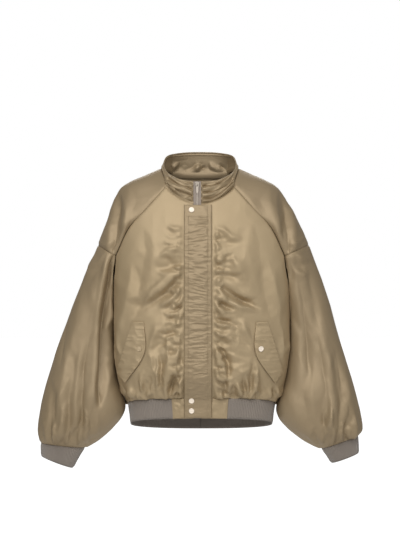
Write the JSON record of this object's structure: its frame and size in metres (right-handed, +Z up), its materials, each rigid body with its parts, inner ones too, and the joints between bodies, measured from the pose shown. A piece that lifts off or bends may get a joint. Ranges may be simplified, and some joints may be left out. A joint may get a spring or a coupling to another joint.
{
  "type": "bomber jacket",
  "caption": "Oversized satin bomber jacket, filled out as worn: stand collar, storm flap over a zip, raglan-style shoulders, full sleeves, slanted pocket flaps, rib cuffs and hem.",
  "frame": {"origin": "middle of the neck opening, at the height where the shoulders carry the jacket", "axes": "+Z up, front of the jacket faces -Y, wearer's left at +X"},
  "size_m": [0.9095, 0.279, 0.8888],
  "materials": {
    "satin": "satin, soft sheen",
    "rib_knit": "matte rib knit",
    "snap_enamel": "smooth, softly shiny",
    "zip_tape": "matte woven tape",
    "zip_metal": "polished"
  },
  "bodies": {
    "jacket": {"front_right": "satin", "front_left": "satin", "back": "satin", "yoke_right": "satin", "yoke_left": "satin", "sleeve_right": "satin", "sleeve_left": "satin", "collar": "satin", "placket": "satin", "hem_tab_right": "satin", "hem_tab_left": "satin", "pocket_flap_right": "satin", "pocket_flap_left": "satin", "cuff_right": "rib_knit", "cuff_left": "rib_knit", "hem_rib": "rib_knit", "snap_neck": "snap_enamel", "snap_hem_upper": "snap_enamel", "snap_hem_lower": "snap_enamel", "snap_pocket_right": "snap_enamel", "snap_pocket_left": "snap_enamel", "zip": "zip_tape", "zip_slider": "zip_metal"},
    "pull": {"zip_pull": "zip_metal"}
  },
  "joints": [
    {"name": "pull_swing", "type": "hinge", "parent": "jacket", "child": "pull", "pos_m": [-0.0075, -0.1007, -0.022], "axis": [1, 0, 0], "range_deg": [-90, 0]}
  ]
}
